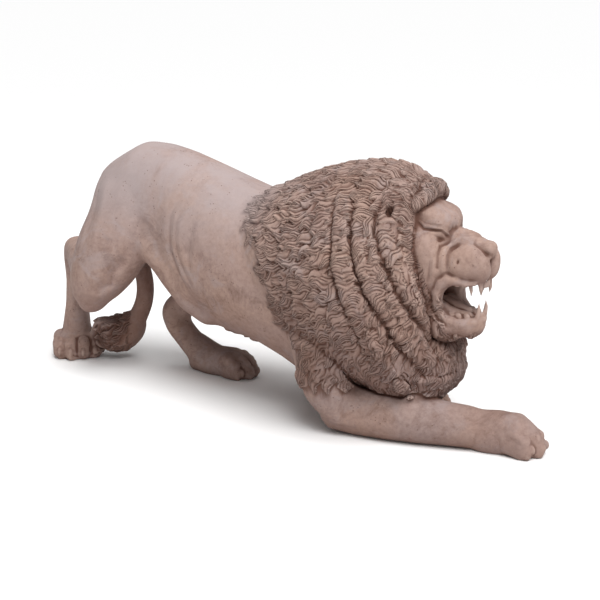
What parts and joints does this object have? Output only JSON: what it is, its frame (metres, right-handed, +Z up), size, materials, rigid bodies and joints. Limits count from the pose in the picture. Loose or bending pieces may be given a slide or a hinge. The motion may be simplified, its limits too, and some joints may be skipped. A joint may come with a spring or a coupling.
{
  "type": "lion sculpture",
  "caption": "Life-size cast stone lion stalking low with its head raised and mouth open, standing on its four paws.",
  "frame": {"origin": "middle of the footprint, on the ground plane under the paws", "axes": "+X towards the lion's nose, +Y to the lion's left, +Z up"},
  "size_m": [2.1918, 0.6948, 0.958],
  "materials": {
    "cast_stone": "matte, pinkish sand-coloured cast stone with darker hollows"
  },
  "bodies": {
    "root": {"stalking_lion": "cast_stone"}
  },
  "joints": []
}
